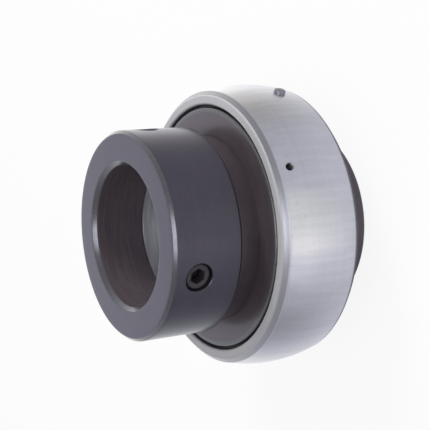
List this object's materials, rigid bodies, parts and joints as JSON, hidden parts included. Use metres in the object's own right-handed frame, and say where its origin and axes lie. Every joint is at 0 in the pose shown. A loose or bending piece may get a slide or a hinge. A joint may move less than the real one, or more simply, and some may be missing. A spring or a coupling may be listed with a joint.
{
  "type": "insert bearing",
  "caption": "Sealed ball bearing insert with a spherical outside, a wide inner ring and an eccentric locking collar with a set screw.",
  "frame": {"origin": "on the bearing axis in the plane of the ball centres, which is the middle of the spherical outside", "axes": "+Z along the bore towards the locking collar; +X and +Y across the bearing"},
  "size_m": [0.062, 0.062, 0.0484],
  "materials": {
    "ground_steel": "ground and honed bearing steel",
    "ball_steel": "lapped",
    "pressed_steel": "pressed sheet, plain",
    "black_oxide_steel": "black oxide, satin",
    "screw_steel": "black oxide, satin",
    "flinger_black": "black, satin",
    "seal_rubber": "moulded nitrile rubber"
  },
  "bodies": {
    "inner": {"inner_ring": "black_oxide_steel", "front_flinger": "flinger_black", "rear_flinger": "flinger_black"},
    "outer": {"outer_ring": "ground_steel", "front_seal_case": "pressed_steel", "rear_seal_case": "pressed_steel", "front_seal_lip": "seal_rubber", "rear_seal_lip": "seal_rubber", "locating_pin": "ground_steel"},
    "cage": {"cage_front": "pressed_steel", "cage_rear": "pressed_steel", "cage_rivets": "pressed_steel"},
    "ball_body_1": {"ball_1": "ball_steel"},
    "ball_body_2": {"ball_2": "ball_steel"},
    "ball_body_3": {"ball_3": "ball_steel"},
    "ball_body_4": {"ball_4": "ball_steel"},
    "ball_body_5": {"ball_5": "ball_steel"},
    "ball_body_6": {"ball_6": "ball_steel"},
    "ball_body_7": {"ball_7": "ball_steel"},
    "ball_body_8": {"ball_8": "ball_steel"},
    "ball_body_9": {"ball_9": "ball_steel"},
    "collar": {"locking_collar": "black_oxide_steel"},
    "screw": {"set_screw": "screw_steel"}
  },
  "joints": [
    {"name": "outer_spin", "type": "hinge", "parent": "inner", "child": "outer", "pos_m": [0, 0, 0], "axis": [0, 0, 1], "continuous": true},
    {"name": "cage_spin", "type": "hinge", "parent": "inner", "child": "cage", "pos_m": [0, 0, 0], "axis": [0, 0, 1], "continuous": true},
    {"name": "ball_1_spin", "type": "hinge", "parent": "cage", "child": "ball_body_1", "pos_m": [0.023, 0, 0], "axis": [0, 0, 1], "continuous": true},
    {"name": "ball_2_spin", "type": "hinge", "parent": "cage", "child": "ball_body_2", "pos_m": [0.01762, 0.01478, 0], "axis": [0, 0, 1], "continuous": true},
    {"name": "ball_3_spin", "type": "hinge", "parent": "cage", "child": "ball_body_3", "pos_m": [0.00399, 0.02265, 0], "axis": [0, 0, 1], "continuous": true},
    {"name": "ball_4_spin", "type": "hinge", "parent": "cage", "child": "ball_body_4", "pos_m": [-0.0115, 0.01992, 0], "axis": [0, 0, 1], "continuous": true},
    {"name": "ball_5_spin", "type": "hinge", "parent": "cage", "child": "ball_body_5", "pos_m": [-0.02161, 0.00787, 0], "axis": [0, 0, 1], "continuous": true},
    {"name": "ball_6_spin", "type": "hinge", "parent": "cage", "child": "ball_body_6", "pos_m": [-0.02161, -0.00787, 0], "axis": [0, 0, 1], "continuous": true},
    {"name": "ball_7_spin", "type": "hinge", "parent": "cage", "child": "ball_body_7", "pos_m": [-0.0115, -0.01992, 0], "axis": [0, 0, 1], "continuous": true},
    {"name": "ball_8_spin", "type": "hinge", "parent": "cage", "child": "ball_body_8", "pos_m": [0.00399, -0.02265, 0], "axis": [0, 0, 1], "continuous": true},
    {"name": "ball_9_spin", "type": "hinge", "parent": "cage", "child": "ball_body_9", "pos_m": [0.01762, -0.01478, 0], "axis": [0, 0, 1], "continuous": true},
    {"name": "collar_turn", "type": "hinge", "parent": "inner", "child": "collar", "pos_m": [-0.00078, 0.00045, 0.0162], "axis": [0, 0, 1], "range_deg": [-25, 25]},
    {"name": "set_screw_travel", "type": "slide", "parent": "collar", "child": "screw", "axis": [0.8988, -0.4384, 0], "range_m": [-0.0005, 0.006]}
  ],
  "couplings": [
    {"joint": "cage_spin", "follows": "outer_spin", "ratio": 0.60353},
    {"joint": "ball_1_spin", "follows": "outer_spin", "ratio": 2.3112},
    {"joint": "ball_2_spin", "follows": "outer_spin", "ratio": 2.3112},
    {"joint": "ball_3_spin", "follows": "outer_spin", "ratio": 2.3112},
    {"joint": "ball_4_spin", "follows": "outer_spin", "ratio": 2.3112},
    {"joint": "ball_5_spin", "follows": "outer_spin", "ratio": 2.3112},
    {"joint": "ball_6_spin", "follows": "outer_spin", "ratio": 2.3112},
    {"joint": "ball_7_spin", "follows": "outer_spin", "ratio": 2.3112},
    {"joint": "ball_8_spin", "follows": "outer_spin", "ratio": 2.3112},
    {"joint": "ball_9_spin", "follows": "outer_spin", "ratio": 2.3112}
  ]
}
